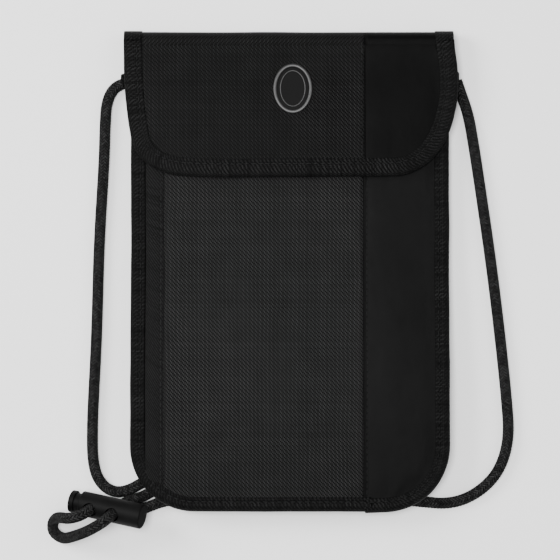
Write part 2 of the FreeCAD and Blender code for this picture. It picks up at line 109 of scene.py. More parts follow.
class Net:
    """A material under construction: each call adds one node and returns the socket to use next."""

    def __init__(self, name, **values):
        self.material = bpy.data.materials.new(name)
        self.material.use_nodes = True
        self.tree = self.material.node_tree
        self.tree.nodes.clear()
        self.bsdf = self.new("ShaderNodeBsdfPrincipled")
        out = self.new("ShaderNodeOutputMaterial")
        self.tree.links.new(self.bsdf.outputs["BSDF"], out.inputs["Surface"])
        for key, value in values.items():
            self.put(self.bsdf, key.replace("_", " "), value)

    def new(self, kind, **fields):
        node = self.tree.nodes.new(kind)
        for key, value in fields.items():
            setattr(node, key, value)
        return node

    def put(self, node, name, value):
        socket = node.inputs[name]
        if isinstance(value, bpy.types.NodeSocket):
            self.tree.links.new(value, socket)
        elif isinstance(value, tuple) and len(value) == 3 and socket.type == "RGBA":
            socket.default_value = (*value, 1)
        else:
            socket.default_value = value

    def math(self, operation, *values):
        node = self.new("ShaderNodeMath", operation=operation)
        for place, value in enumerate(values):
            self.put(node, place, value)
        return node.outputs[0]

    def add(self, a, b):
        return self.math("ADD", a, b)

    def times(self, a, b):
        return self.math("MULTIPLY", a, b)

    def blend(self, share, a, b):
        """a where share is 0 and b where it is 1, for numbers."""
        return self.add(a, self.times(share, self.math("SUBTRACT", b, a)))

    def pair(self, x, y, z=0.0):
        node = self.new("ShaderNodeCombineXYZ")
        for place, value in enumerate((x, y, z)):
            self.put(node, place, value)
        return node.outputs[0]

    def sheet_place(self):
        """The place on the cloth in millimetres, along and across it."""
        node = self.new("ShaderNodeSeparateXYZ")
        self.put(node, 0, self.new("ShaderNodeUVMap", uv_map="cloth").outputs[0])
        return node.outputs[0], node.outputs[1]

    def solid_place(self):
        return self.new("ShaderNodeTexCoord").outputs["Object"]

    def noise(self, place, scale, detail=2.0, roughness=0.5):
        node = self.new("ShaderNodeTexNoise")
        for key, value in (("Vector", place), ("Scale", scale), ("Detail", detail), ("Roughness", roughness)):
            self.put(node, key, value)
        return node.outputs[0]

    def random(self, number, seed=0.0):
        """A steady random number from 0 to 1 for each whole number, such as one for each yarn."""
        node = self.new("ShaderNodeTexWhiteNoise", noise_dimensions="2D")
        self.put(node, "Vector", self.pair(number, seed))
        return node.outputs["Value"]

    def ramp(self, value, *stops):
        node = self.new("ShaderNodeValToRGB")
        self.put(node, 0, value)
        ramp = node.color_ramp
        while len(ramp.elements) < len(stops):
            ramp.elements.new(0.5)
        for element, (position, colour) in zip(ramp.elements, stops):
            element.position = position
            element.color = (*colour, 1)
        return node.outputs[0]

    def colour(self, value, *stops):
        """The base colour along value: each stop is a position and a colour."""
        self.put(self.bsdf, "Base Color", self.ramp(value, *stops))

    def roughness(self, value):
        self.put(self.bsdf, "Roughness", value)

    def normal(self, value):
        self.put(self.bsdf, "Normal", value)

    def level(self, value, low, high):
        """value from 0 to 1 stretched to low to high."""
        node = self.new("ShaderNodeMapRange")
        for key, number in (("Value", value), ("To Min", low), ("To Max", high)):
            self.put(node, key, number)
        return node.outputs[0]

    def bump(self, height, distance, strength=1.0, under=None):
        node = self.new("ShaderNodeBump")
        self.put(node, "Height", height)
        self.put(node, "Distance", distance)
        self.put(node, "Strength", strength)
        if under is not None:
            self.put(node, "Normal", under)
        return node.outputs[0]

    def yarns(self, along, across, pitch, repeat, over):
        """A twill: its yarns' height, which of the two sets is on top, and the yarns' own numbers."""
        a = self.times(along, 1 / pitch)
        b = self.times(across, 1 / pitch)
        number_a, number_b = self.math("FLOOR", a), self.math("FLOOR", b)
        turn = self.math("FLOORED_MODULO", self.add(number_a, number_b), float(repeat))
        top = self.math("LESS_THAN", turn, over - 0.5)
        round_a = self.math("SINE", self.times(self.math("FRACT", a), math.pi))
        round_b = self.math("SINE", self.times(self.math("FRACT", b), math.pi))
        return self.blend(top, self.times(round_b, 0.8), round_a), top, number_a, number_b


def grey(value, warm=0.0):
    """A grey of this linear value, leaning a little to red for a positive warm."""
    return value * (1 + warm), value, value * (1 - warm)


# The lock's barrel lies along the direction in which its button is pressed. Its closed end is duller.
PRESS = next(joint for joint in frame["joints"] if joint["name"] == "plunger_press")
BARREL_AXIS = Vector(PRESS["axis"]).normalized()
END_DEPTH = 0.25 * MM
BARREL = frame["nodes"]["lock_barrel"].data.vertices
BARREL_END = max(vertex.co.dot(BARREL_AXIS) for vertex in BARREL) - END_DEPTH


def twill_material(name, brightness):
    net = Net(name, **{"Specular IOR Level": 0.045 * brightness})
    u, v = net.sheet_place()
    place = net.pair(u, v)
    drift = net.times(net.noise(net.pair(net.times(u, 0.05), net.times(v, 0.05)), 1.0), 0.8)
    height, top, number_a, number_b = net.yarns(net.add(u, drift), v, 0.58, 3, 2)
    own = net.add(net.times(net.random(number_a, 3.0), 0.5), net.times(net.random(number_b, 7.0), 0.5))
    cloud = net.noise(place, 0.09, 3.0)
    # The yarns' crowns are painted lighter and the gaps between them darker, and the yarns under the other
    # set darker still: painted highlight and painted shade of the weave. The level for each yarn and the
    # cloud are the cloth's own uneven tone. brightness scales the cloud, and on the flap's copy that lower
    # brightness is painted shade.
    shade = net.times(height, net.level(own, 0.90, 1.06))
    shade = net.times(shade, net.level(cloud, 0.88 * brightness, 1.10 * brightness))
    shade = net.times(shade, net.level(top, 0.14, 1.0))
    net.colour(shade, (0.0, grey(0.0001)), (0.45, grey(0.0015)), (1.0, grey(0.0440)))
    fuzz = net.noise(place, 2.5, 3.0)
    net.roughness(net.level(net.add(net.times(height, 0.6), net.times(fuzz, 0.4)), 0.66, 0.38))
    net.normal(net.bump(fuzz, 0.00003, 0.5, net.bump(height, 0.00009, 0.9)))
    return net.material


def smooth_material(name, brightness):
    net = Net(name, **{"Specular IOR Level": 0.036 * brightness})
    u, v = net.sheet_place()
    place = net.pair(u, v)
    height = net.yarns(u, v, 0.30, 2, 1)[0]
    cloud = net.noise(place, 0.06, 4.0, 0.6)
    # The yarns' crowns are painted a little lighter: painted highlight. The cloud is the cloth's own
    # mottling. brightness scales the colour, and on the flap's copy that lower brightness is painted shade.
    shade = net.add(net.times(height, 0.25), net.times(cloud, 0.75))
    net.colour(shade, (0.15, grey(0.0018 * brightness)), (0.85, grey(0.0036 * brightness)))
    net.roughness(net.level(net.noise(place, 0.35, 3.0), 0.40, 0.50))
    slack = net.noise(net.pair(net.times(u, 1.0), net.times(v, 0.45)), 0.12, 2.0)
    net.normal(net.bump(height, 0.000035, 0.6, net.bump(slack, 0.0006, 0.5)))
    return net.material


def lining_material():
    net = Net("lining_cloth", **{"Roughness": 0.6, "Specular IOR Level": 0.12, "Sheen Weight": 0.02})
    u, v = net.sheet_place()
    height, _, number_a, number_b = net.yarns(u, v, 0.38, 2, 1)
    check = net.math("LESS_THAN", net.math("FLOORED_MODULO", number_a, 14.0), 0.5)
    check = net.math("MAXIMUM", check, net.math("LESS_THAN", net.math("FLOORED_MODULO", number_b, 14.0), 0.5))
    # The yarns' crowns are painted lighter: painted highlight. The ripstop grid adds lighter lines of its
    # own.
    crown_highlight_and_check = net.times(height, net.level(net.noise(net.pair(u, v), 0.1, 2.0), 0.75, 1.1))
    crown_highlight_and_check = net.add(crown_highlight_and_check, net.times(check, 0.18))
    net.colour(crown_highlight_and_check, (0.0, grey(0.002)), (1.0, grey(0.014)))
    net.normal(net.bump(net.add(height, net.times(check, 0.5)), 0.00009, 0.8))
    return net.material


def tape_material(name, brightness):
    net = Net(name, **{"Specular IOR Level": 0.045 * brightness})
    u, v = net.sheet_place()
    height, top, number_a, _ = net.yarns(u, v, 0.42, 4, 2)
    own = net.random(number_a, 5.0)
    # The yarns' crowns are painted lighter and the gaps between them darker, and the yarns under the other
    # set darker still: painted highlight and painted shade of the weave. The level for each yarn and the
    # cloud are the tape's own uneven tone.
    shade = net.times(height, net.level(own, 0.65, 1.15))
    shade = net.times(shade, net.level(net.noise(net.pair(u, v), 0.12, 3.0), 0.80 * brightness, 1.14 * brightness))
    shade = net.times(shade, net.level(top, 0.34, 1.0))
    net.colour(shade, (0.0, grey(0.0003)), (0.5, grey(0.0026)), (1.0, grey(0.0210)))
    net.roughness(net.level(height, 0.70, 0.42))
    net.normal(net.bump(height, 0.00016, 0.9))
    return net.material


def thread_material():
    net = Net("sewing_thread", **{"Roughness": 0.5, "Specular IOR Level": 0.10})
    u, v = net.sheet_place()
    twist = net.math("SINE", net.times(net.add(u, net.times(v, 1.2)), 11.0))
    # The twist's ridges are painted lighter: painted highlight.
    net.colour(net.level(twist, 0.5, 1.0), (0.0, grey(0.0020)), (1.0, grey(0.0120)))
    net.normal(net.bump(twist, 0.00008, 0.8))
    return net.material


CORD_YARNS = 10      # yarns that run each way round the cord
CORD_CELL = 1.35     # length of cord that one crossing takes


def cord_material():
    net = Net("braided_cord", **{"Specular IOR Level": 0.05})
    u, v = net.sheet_place()
    along, round_it = net.times(u, 1 / CORD_CELL), net.times(v, CORD_YARNS / (2 * math.pi))
    a, b = net.add(round_it, along), net.math("SUBTRACT", round_it, along)
    number_a, number_b = net.math("FLOOR", a), net.math("FLOOR", b)
    turn = net.math("FLOORED_MODULO", net.add(number_a, number_b), 4.0)
    top = net.math("LESS_THAN", turn, 1.5)
    side = net.math("SINE", net.times(net.math("FRACT", net.blend(top, b, a)), math.pi))
    strand = net.pair(net.times(net.blend(top, b, a), 7.0), net.times(net.blend(top, a, b), 0.9))
    fibre = net.noise(strand, 1.0, 2.0, 0.6)
    glint = net.random(net.add(net.times(number_a, 13.0), number_b), 2.0)
    # Each strand is painted lighter over its crown and dark at its sides, where the strands meet: painted
    # highlight and painted shade. glint is a painted glint, brighter or darker for each crossing. The fibre
    # noise is the yarns' own texture.
    shade = net.times(net.math("POWER", side, 0.6), net.level(fibre, 0.35, 1.25))
    shade = net.times(shade, net.level(glint, 0.75, 1.15))
    net.colour(shade, (0.0, grey(0.0001)), (0.5, grey(0.0018)), (1.0, grey(0.0360)))
    net.roughness(net.level(fibre, 1.0, 0.80))
    net.normal(net.bump(net.add(side, net.times(fibre, 0.6)), 0.00018, 0.8))
    return net.material


def plastic_material():
    net = Net("lock_plastic", **{"Specular IOR Level": 0.075})
    place = net.solid_place()
    grain = net.noise(place, 1500.0, 3.0)
    wear = net.noise(place, 160.0, 4.0, 0.65)
    reach = net.new("ShaderNodeVectorMath", operation="DOT_PRODUCT")
    net.put(reach, 0, place)
    net.put(reach, 1, tuple(BARREL_AXIS))
    end = net.math("GREATER_THAN", reach.outputs["Value"], BARREL_END)
    net.colour(wear, (0.3, grey(0.0012)), (0.75, grey(0.0028)))
    net.roughness(net.blend(end, net.level(wear, 0.46, 0.64), net.level(wear, 0.86, 1.0)))
    cast = net.noise(place, 420.0, 4.0, 0.7)
    net.normal(net.bump(cast, net.times(end, 0.0002), 0.6, net.bump(grain, 0.00005, 0.45)))
    return net.material


def steel_material():
    net = Net("spring_steel", **{"Metallic": 1.0})
    place = net.solid_place()
    drawn = net.noise(place, 900.0, 3.0)
    net.colour(drawn, (0.2, grey(0.36)), (0.8, grey(0.55, 0.02)))
    net.roughness(net.level(drawn, 0.22, 0.40))
    return net.material


def badge_material():
    net = Net("badge_metal", **{"Metallic": 1.0})
    u, v = net.sheet_place()
    brushed = net.noise(net.pair(net.times(u, 0.6), net.times(v, 9.0)), 1.0, 3.0, 0.6)
    blotch = net.noise(net.pair(u, v), 0.5, 3.0)
    shade = net.add(net.times(brushed, 0.7), net.times(blotch, 0.3))
    net.colour(shade, (0.25, grey(0.038)), (0.75, grey(0.072)))
    net.roughness(net.level(brushed, 0.40, 0.58))
    net.normal(net.bump(brushed, 0.00003, 0.5))
    return net.material


def badge_field_material():
    net = Net("badge_field", **{"Specular IOR Level": 0.08})
    u, v = net.sheet_place()
    grain = net.noise(net.pair(u, v), 3.2, 4.0, 0.7)
    net.colour(grain, (0.3, grey(0.0012)), (0.8, grey(0.0040)))
    net.roughness(net.level(grain, 0.75, 0.5))
    net.normal(net.bump(grain, 0.00008, 0.7))
    return net.material


def fastener_material():
    net = Net("touch_fastener", **{"Roughness": 0.8, "Sheen Weight": 0.08, "Specular IOR Level": 0.1})
    u, v = net.sheet_place()
    tuft = net.noise(net.pair(u, v), 1.6, 4.0, 0.7)
    net.colour(tuft, (0.25, grey(0.0015)), (0.8, grey(0.014)))
    net.roughness(net.level(tuft, 0.9, 0.6))
    net.normal(net.bump(tuft, 0.0003, 0.8))
    return net.material


def floor_material():
    net = Net("floor", **{"Roughness": 0.85, "Specular IOR Level": 0.2})
    place = net.solid_place()
    net.colour(net.noise(place, 3.0, 2.0), (0.2, grey(0.90)), (0.8, grey(0.92)))
    return net.material


TWILL = twill_material("twill_cloth", 0.82)
SMOOTH = smooth_material("smooth_cloth", 1.0)
LINING = lining_material()
# The flap's twill and smooth cloth are the front's two cloths again at lower brightness: painted shade, as
# the flap lies in less light.
SHADED_FLAP_TWILL = twill_material("flap_twill", 0.68)
SHADED_FLAP_SMOOTH = smooth_material("flap_smooth", 0.72)
# The tapes are one tape at three brightness levels.
TAPE = tape_material("binding_tape", 0.94)
THREAD = thread_material()
CORD = cord_material()
SLIP_TAPE = tape_material("slip_tape", 1.22)
FLAP_TAPE = tape_material("flap_tape", 1.0)
PLASTIC = plastic_material()
STEEL = steel_material()
BADGE = badge_material()
FIELD = badge_field_material()
FASTENER = fastener_material()


# ---------------------------------------------------------------- mesh helpers

class Shape:
    """Rows of points gathered into one mesh, with the place on the cloth at each face corner."""

    def __init__(self):
        self.points, self.faces, self.places, self.count = [], [], [], 0

    def rows(self, points, place, wrap=False):
        """points is rows x columns x 3. place is rows x columns x 2, and a column more where rows close."""
        high, wide = points.shape[:2]
        r, c = np.meshgrid(np.arange(high - 1), np.arange(wide if wrap else wide - 1), indexing="ij")
        n = (c + 1) % wide
        quads = np.stack([r * wide + c, r * wide + n, (r + 1) * wide + n, (r + 1) * wide + c], -1)
        corners = np.stack([place[r, c], place[r, c + 1], place[r + 1, c + 1], place[r + 1, c]], -2)
        self.faces.extend((quads.reshape(-1, 4) + self.count).tolist())
        self.places.append(corners.reshape(-1, 2))
        self.points.append(points.reshape(-1, 3))
        start, self.count = self.count, self.count + high * wide
        return start

    def lid(self, numbers, place=(0.0, 0.0)):
        self.faces.append(list(numbers))
        self.places.append(np.tile(np.array(place, float), (len(self.faces[-1]), 1)))

    def tube(self, points, place):
        """Closed rows with a lid on each end. Faces look outwards whichever way round the rows run."""
        high, wide = points.shape[:2]
        ring = points[0] - points[0].mean(0)
        turning = np.cross(ring, np.roll(ring, -1, axis=0)).sum(0)
        if turning @ (points[1] - points[0]).mean(0) < 0:
            points, place = points[:, ::-1], place[:, ::-1]
        start = self.rows(points, place, wrap=True)
        self.lid(range(start + wide - 1, start - 1, -1), place[0, 0])
        self.lid(range(start + (high - 1) * wide, start + high * wide), place[-1, 0])

    def make(self, name, material, slot, body=None, node=None):
        """The mesh as a piece, which rides on a body and stands for a node where one is named. slot is not
        used.
        """
        mesh = bpy.data.meshes.new(name)
        points = np.concatenate(self.points) * MM
        mesh.from_pydata(points.tolist(), [], self.faces)
        layer = mesh.uv_layers.new(name="cloth")
        layer.data.foreach_set("uv", np.concatenate(self.places).astype(np.float32).ravel())
        mesh.polygons.foreach_set("use_smooth", [True] * len(mesh.polygons))
        mesh.materials.append(material)
        mesh.validate()
        obj = bpy.data.objects.new(name, mesh)
        scene.collection.objects.link(obj)
        if body:
            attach(obj, body)
        if node:
            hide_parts(node)
        return obj


def ease(value):
    t = np.clip(value, 0, 1)
    return t * t * (3 - 2 * t)


def wander(values, seed, size, step):
    """A slow, steady drift along a line, so that nothing sewn is perfectly straight."""
    return np.array([noise.noise(Vector((value / step, seed * 7.31, seed * 1.7))) for value in values]) * size


def path_lengths(points):
    return np.concatenate([[0], np.cumsum(np.linalg.norm(np.diff(points, axis=0), axis=1))])


def even_points(points, step):
    """The same line with its points evenly spaced."""
    s = path_lengths(points)
    at = np.linspace(0, s[-1], max(2, int(round(s[-1] / step)) + 1))
    return np.stack([np.interp(at, s, points[:, k]) for k in range(points.shape[1])], 1)


def circle(count):
    """Angles evenly round a circle, without the last one, which is the first again."""
    return np.linspace(0, 2 * math.pi, count, endpoint=False)


def unit(vectors):
    return vectors / np.linalg.norm(vectors, axis=-1, keepdims=True)


def rings(middle, side, up, radius, turn):
    """Round rows about a line: side and up are the two ways across it at each of its points."""
    return middle[:, None] + radius * (side[:, None] * np.cos(turn)[None, :, None]
                                       + up[:, None] * np.sin(turn)[None, :, None])


def crossed(rows, columns):
    """The place on the cloth of each row and column, from the rows' and the columns' own places."""
    return np.stack(np.broadcast_arrays(rows[:, None], columns[None]), -1)


def seen_from_above(points):
    """The place on the cloth of each point of closed rows, taken straight from its x and y."""
    return np.concatenate([points, points[:, :1]], 1)[..., :2]


def girth(section):
    """How far round a closed section each of its points is, and back to the first."""
    return path_lengths(np.concatenate([section, section[:1]]))


def inward(points):
    """The inward side of a line that runs down the left, along the bottom and up the right."""
    along = unit(np.gradient(points, axis=0))
    return np.stack([-along[:, 1], along[:, 0]], 1)


# ---------------------------------------------------------------- the pouch's outline and lie

BODY_HALF, BODY_FOOT, BODY_TOP, BODY_CORNER = 70.1, -105.5, 103.5, 28.5
SEAM_X, FLAP_SEAM_X = 32.6, 33.0       # where twill meets smooth cloth, on the front and on the flap
SLIP_SEAM_X = -56.6                    # the stitches beside the slip pocket's mouth
FLAP_TOP = 101.5     # above this the fold takes over from the flap
LIFT = 5.9           # the lower end lies on the folded neck cord


def lift(y):
    return LIFT * ease((24.0 - y) / 89.0)


def body_outline(step=1.5, inset=0.0):
    """The pouch's edge from its top left corner down, along the foot and up to its top right corner."""
    half, foot, corner = BODY_HALF - inset, BODY_FOOT + inset, BODY_CORNER - inset
    turn = np.linspace(0, math.pi / 2, 40)
    left = np.stack([-half + corner - corner * np.cos(turn), foot + corner - corner * np.sin(turn)], 1)
    right = left[::-1] * (-1, 1)
    return even_points(np.concatenate([[[-half, BODY_TOP]], left, right, [[half, BODY_TOP]]]), step)


def flap_outline(step=1.5, inset=0.0):
    """The flap's edge the same way round. Its left side draws in lower down, and its right side bows out."""
    marks = np.array([
        (-73.1, 106.0), (-73.1, 98.0), (-73.0, 88.0), (-72.5, 78.0), (-71.6, 70.0), (-70.5, 62.8),
        (-69.0, 55.6), (-65.5, 49.5), (-59.8, 45.1), (-52.6, 42.5), (-43.0, 41.3), (-24.0, 41.0),
        (0.0, 41.1), (22.0, 41.2), (40.0, 41.4), (49.0, 42.0), (56.0, 44.4), (62.0, 48.6), (66.6, 54.2),
        (69.9, 61.0), (72.3, 69.0), (73.8, 79.0), (73.5, 89.0), (72.4, 98.0), (71.9, 106.0),
    ])
    smooth = []
    for k in range(len(marks) - 1):
        a, b = marks[max(k - 1, 0)], marks[k]
        c, d = marks[k + 1], marks[min(k + 2, len(marks) - 1)]
        t = np.linspace(0, 1, 12, endpoint=False)[:, None]
        second, third = 2 * a - 5 * b + 4 * c - d, 3 * b - a - 3 * c + d
        smooth.append(0.5 * (2 * b + (c - a) * t + second * t ** 2 + third * t ** 3))
    line = even_points(np.concatenate(smooth + [marks[-1:]]), step)
    line = line + inward(line) * inset
    return line[line[:, 1] <= FLAP_TOP + 0.8]


# ---------------------------------------------------------------- cloth that swells between its seams

SETTLE_SCALE = 0.01  # the cloth settles at ten times its size


def settle(name, xs, ys, held, push, spare, frames):
    """Cloth held where held is 1, with spare width and air behind it, let come to rest.

    Gives its height in mm over each x and y.
    """
    gx, gy = np.meshgrid(xs, ys)
    wide = len(xs)
    points = np.stack([gx, gy, 0 * gx], -1).reshape(-1, 3) * SETTLE_SCALE
    quads = [[r * wide + c, r * wide + c + 1, (r + 1) * wide + c + 1, (r + 1) * wide + c]
             for r in range(len(ys) - 1) for c in range(wide - 1)]
    mesh = bpy.data.meshes.new(name)
    mesh.from_pydata(points.tolist(), [], quads)
    obj = bpy.data.objects.new(name, mesh)
    scene.collection.objects.link(obj)
    group = obj.vertex_groups.new(name="held")
    for number, weight in enumerate(held(gx, gy).ravel()):
        if weight > 0:
            group.add([number], float(weight), "REPLACE")
    cloth = obj.modifiers.new("cloth", "CLOTH")
    cloth.settings.quality = 6
    cloth.settings.mass = 0.25
    cloth.settings.tension_stiffness = cloth.settings.compression_stiffness = 14
    cloth.settings.shear_stiffness = 6
    cloth.settings.bending_stiffness = 0.9
    cloth.settings.vertex_group_mass = "held"
    cloth.settings.shrink_min = -spare
    cloth.settings.use_pressure = True
    cloth.settings.uniform_pressure_force = push
    cloth.settings.effector_weights.gravity = 0
    cloth.collision_settings.use_collision = False
    cloth.point_cache.frame_start, cloth.point_cache.frame_end = 1, frames
    for number in range(1, frames + 1):
        scene.frame_set(number)
    done = obj.evaluated_get(bpy.context.evaluated_depsgraph_get()).to_mesh()
    height = np.array([vertex.co.z for vertex in done.vertices]).reshape(gx.shape) / SETTLE_SCALE
    bpy.data.objects.remove(obj)
    scene.frame_set(1)
    return height


def look_up(xs, ys, height):
    """A function that reads the height between the grid's points."""
    def read(x, y):
        fx = np.clip((np.asarray(x) - xs[0]) / (xs[1] - xs[0]), 0, len(xs) - 1.001)
        fy = np.clip((np.asarray(y) - ys[0]) / (ys[1] - ys[0]), 0, len(ys) - 1.001)
        ix, iy = fx.astype(int), fy.astype(int)
        tx, ty = fx - ix, fy - iy
        low = height[iy, ix] * (1 - tx) + height[iy, ix + 1] * tx
        high = height[iy + 1, ix] * (1 - tx) + height[iy + 1, ix + 1] * tx
        return low * (1 - ty) + high * ty
    return read


def edge_distance(x, y, half, foot, corner):
    """How far inside a round-cornered edge a place is."""
    dx, dy = np.abs(x) - (half - corner), (foot + corner) - y
    outside = np.hypot(np.maximum(dx, 0), np.maximum(dy, 0))
    return corner - outside - np.minimum(np.maximum(dx, dy), 0)


BODY_X, BODY_Y = np.linspace(-70, 70, 71), np.linspace(-105.5, 104.5, 106)
FLAP_X, FLAP_Y = np.linspace(-74, 74, 75), np.linspace(40, 104, 33)


def body_held(x, y):
    rim = edge_distance(x, y, BODY_HALF, BODY_FOOT, BODY_CORNER) < 6.8
    seam = 0.10 * (np.abs(x - SEAM_X) < 1.2)
    slip = 0.06 * (np.abs(x - SLIP_SEAM_X) < 1.2)
    return np.where(rim | (y > 95), 1.0, np.maximum(seam, slip))


def flap_held(x, y):
    rim = edge_distance(x, y, 73.5, 41.0, 19.0) < 8.4
    seam = 0.12 * (np.abs(x - FLAP_SEAM_X) < 1.2)
    badge = 0.25 * (np.hypot((x - 1.2) / 8.6, (y - 80) / 11) < 1)
    return np.where(rim | (y > 100), 1.0, np.maximum(seam, badge))


body_height = settle("body_cloth", BODY_X, BODY_Y, body_held, 2.2, 0.004, 26)
flap_height = settle("flap_cloth", FLAP_X, FLAP_Y, flap_held, 1.6, 0.004, 22)

BODY_CROWN, FLAP_CROWN = 2.4, 1.0


def filled(height, crown):
    """The swell as a share of its highest, made fuller near the seams as cloth over a soft lining is."""
    share = np.clip(height / np.percentile(height, 99.5), 0, 1.1)
    return crown * (1 - np.abs(1 - share) ** 1.7 * np.sign(1 - share))


body_swell = look_up(BODY_X, BODY_Y, filled(body_height, BODY_CROWN))
flap_swell = look_up(FLAP_X, FLAP_Y, filled(flap_height, FLAP_CROWN))


def calm(y):
    """How much of the swell is left towards the fold at the top."""
    return ease((FLAP_TOP - y) / 34.0)


def body_z(x, y, z):
    """Where a level of the pouch lies: the back stays flat, and the front swells."""
    return z + lift(y) + body_swell(x, y) * calm(y) * ease((z - 2.0) / 4.5)


def flap_z(x, y, z):
    """The flap follows the front under it, adds its own swell, and stands off a little at its lower edge."""
    swell = (body_swell(np.clip(x, -70, 70), y) + flap_swell(x, y)) * calm(y)
    return z + swell + 1.5 * ease((62.0 - y) / 20.0)


# ---------------------------------------------------------------- cloth, tapes and stitches

def cloth_panel(name, left, right, columns, low, high, material, slot, body):
    """A closed layer of cloth between a left and a right edge line of equal point count."""
    u = np.concatenate([[0, 0.3 / columns], np.linspace(0, 1, columns)[1:-1], [1 - 0.3 / columns, 1]])
    xy = left[:, None, :] * (1 - u)[None, :, None] + right[:, None, :] * u[None, :, None]
    x, y = xy[..., 0], xy[..., 1]
    top = np.concatenate([xy, high(x, y)[..., None]], -1)
    under = np.concatenate([xy, low(x, y)[..., None]], -1)
    ring = np.concatenate([under, top[:, ::-1]], 1)
    shape = Shape()
    wide = ring.shape[1]
    start = shape.rows(ring, seen_from_above(ring), wrap=True)
    half = wide // 2
    for row, turn in ((0, 1), (len(left) - 1, -1)):
        base = start + row * wide
        for c in range(half - 1):
            corners = [base + c, base + wide - 1 - c, base + wide - 2 - c, base + c + 1]
            shape.lid(corners[::turn], ring[row, c, :2])
    return shape.make(name, material, slot, body)


def declare_sheet(node, left, right):
    """The piece stands for a node, whose CAD part is hidden; the cut's flat size and area between the two
    edges are worked out but not used.
    """
    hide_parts(node)
    width, height = right[:, 0] - left[:, 0], (left[:, 1] + right[:, 1]) / 2
    area = float(np.sum((width[1:] + width[:-1]) / 2 * np.abs(np.diff(height))) * MM ** 2)
    flat = (float(width.max() * MM), float(np.ptp(height) * MM))


def body_rows(left_x, right_x, top, inset=0.9):
    """Matching left and right edge points of a body layer, narrowed at the rounded lower corners."""
    corner, half = BODY_CORNER - inset, BODY_HALF - inset
    turn = np.linspace(0, math.pi / 2, 16)
    bend = BODY_FOOT + inset + corner
    ys = np.concatenate([bend - corner * np.cos(turn), np.linspace(bend, top, 78)[1:]])
    drop = np.maximum(bend - ys, 0)
    reach = half - corner + np.sqrt(np.maximum(corner ** 2 - drop ** 2, 0))
    left = np.stack([np.maximum(left_x, -reach), ys], 1)
    right = np.stack([np.minimum(right_x, reach), ys], 1)
    return left[::-1], right[::-1]


def sweep(shape, line, section, level, s0=0.0):
    """A tape's closed section, given as (distance inside the edge, level), carried along an edge line."""
    side = inward(line)
    section = np.array(section)
    xy = line[:, None, :] + side[:, None, :] * section[None, :, 0, None]
    z = level(xy[..., 0], xy[..., 1], np.broadcast_to(section[None, :, 1], xy.shape[:2]))
    points = np.concatenate([xy, z[..., None]], -1)
    shape.tube(points, crossed(path_lengths(line) + s0, girth(section)))


def stitch_row(shape, line, level, z, pitch=3.0, gap=0.75, radius=0.24, seed=1.0, tilt=0.07):
    """Real thread: one short rounded length for each stitch, whose ends go down into the cloth."""
    s = path_lengths(line)
    count = max(1, int(s[-1] / pitch))
    step = s[-1] / count
    t = np.linspace(0, 1, 7)
    around = circle(6)
    arch = np.sin(math.pi * t) ** 0.7
    for k in range(count):
        skew = noise.noise(Vector((k * 3.7, seed * 5.1, 0.3))) * tilt
        a, b = k * step + gap / 2, (k + 1) * step - gap / 2
        at = a + (b - a) * t
        mid = np.stack([np.interp(at, s, line[:, 0]), np.interp(at, s, line[:, 1])], 1)
        along = unit(mid[-1] - mid[0])
        side = np.array([-along[1], along[0]])
        mid = mid + side[None] * ((t - 0.5)[:, None] * skew * (b - a))
        fat = radius * (0.35 + 0.65 * arch)
        middle = level(mid[:, 0], mid[:, 1], np.full(len(t), float(z))) + radius * (arch - 0.75)
        ring = np.zeros((len(t), len(around), 3))
        ring[..., :2] = mid[:, None] + side[None, None] * (fat[:, None, None] * np.cos(around)[None, :, None])
        ring[..., 2] = middle[:, None] + fat[:, None] * np.sin(around)[None]
        shape.tube(ring, crossed(at, np.append(around, 2 * math.pi) * radius))


def between(a, b, count):
    return np.array(a)[None] + (np.array(b) - np.array(a))[None] * np.linspace(0, 1, count)[:, None]


def sewn_line(a, b, count, seed, size, step):
    """A line from a to b that drifts a little sideways."""
    line = between(a, b, count)
    line[:, 0] += wander(line[:, 1], seed, size, step)
    return line


def body_layer(name, node, top, inset, columns, levels, material, slot):
    """A plain layer of the pouch, as wide as the pouch, between two levels."""
    left, right = body_rows(-WHOLE, WHOLE, top, inset)
    low, high = levels
    piece = cloth_panel(name, left, right, columns, partial(body_z, z=low), partial(body_z, z=high),
                        material, slot, "pouch")
    declare_sheet(node, left, right)


# The back, and the two linings and the backing that show inside when the flap is open.
WHOLE = 99           # past both sides, so that the pouch's own edge is what cuts a layer
body_layer("back_cloth", "back_panel", 102.6, 0.9, 56, (0.45, 1.1), TWILL, "twill_cloth")
body_layer("back_lining_cloth", "back_lining", 102.4, 1.1, 40, (1.12, 1.5), LINING, "lining_cloth")
body_layer("front_lining_cloth", "front_lining", 98.2, 1.1, 56, (6.7, 7.08), LINING, "lining_cloth")
body_layer("front_backing_cloth", "front_wall", 98.2, 1.0, 56, (7.1, 7.7), SMOOTH, "smooth_cloth")


# The front: twill on the left with a turned, slightly proud right edge, and smooth cloth set in beside it.
def twill_high(x, y):
    proud = 0.60 * ease((x - 18.0) / 12.0)
    roll = 1.10 * ease((x - (SEAM_X - 1.4)) / 0.9) ** 3
    tuck = 0.35 * ease((-58.0 - x) / 6.0)
    pucker = 0.10 * np.sin(y / 1.9 + 0.8 * np.sin(y / 7.0)) * ease((x - 27.0) / 4.0)
    return body_z(x, y, 8.7) - roll - tuck + (proud + pucker) * ease((y - BODY_FOOT - 4.0) / 7.0)


def twill_low(x, y):
    return body_z(x, y, 8.1) + 0.25 * ease((x - 20.0) / 10.0) * ease((y - BODY_FOOT - 4.0) / 7.0)


left, right = body_rows(-63.2, SEAM_X - 0.5, 98.2)
front_twill = cloth_panel("front_twill_cloth", left, right, 64, twill_low, twill_high, TWILL, "twill_cloth",
                          "pouch")
declare_sheet("front_twill_panel", left, right)


